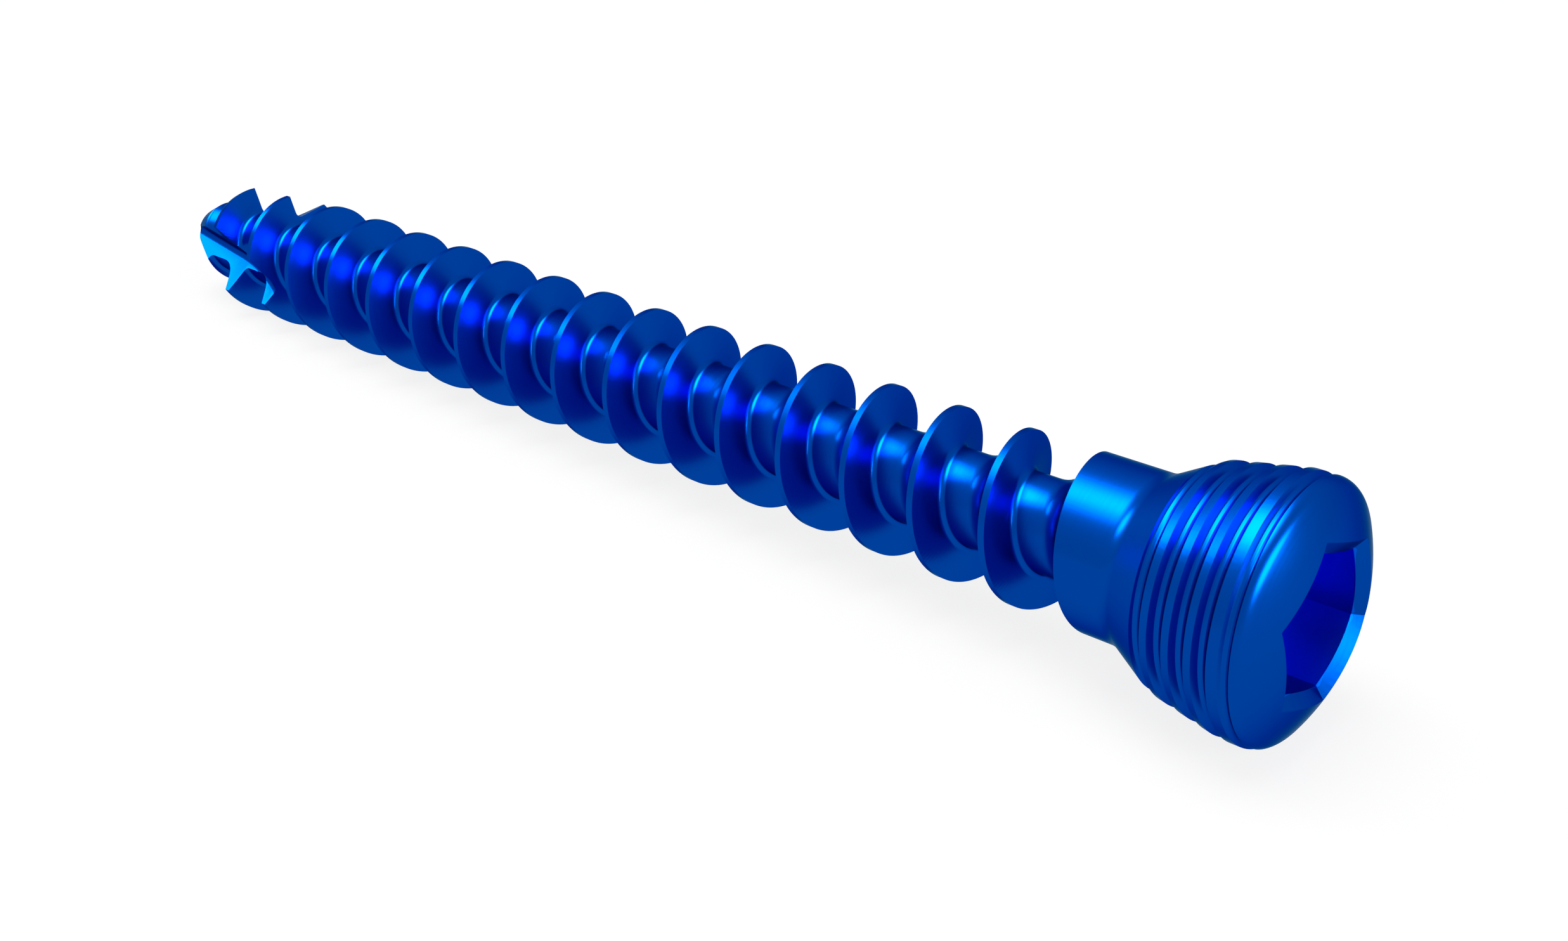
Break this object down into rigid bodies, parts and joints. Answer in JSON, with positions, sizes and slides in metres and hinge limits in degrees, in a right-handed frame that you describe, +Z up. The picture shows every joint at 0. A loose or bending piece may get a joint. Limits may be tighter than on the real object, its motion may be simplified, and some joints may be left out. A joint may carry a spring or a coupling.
{
  "type": "cancellous locking screw",
  "caption": "Blue titanium bone screw with a deep right-hand cancellous thread, cutting flutes at the tip, a threaded locking head and a hex socket.",
  "frame": {"origin": "on the table under the middle of the screw's bounding box", "axes": "+X from the tip to the head, +Z up; the screw lies as it comes to rest, its axis tilted 1.6 degrees because the head is wider than the thread"},
  "size_m": [0.0406, 0.006, 0.006],
  "materials": {
    "blue_anodised_titanium": "blue anodised titanium, satin"
  },
  "bodies": {
    "root": {"cancellous_locking_screw": "blue_anodised_titanium"}
  },
  "joints": []
}
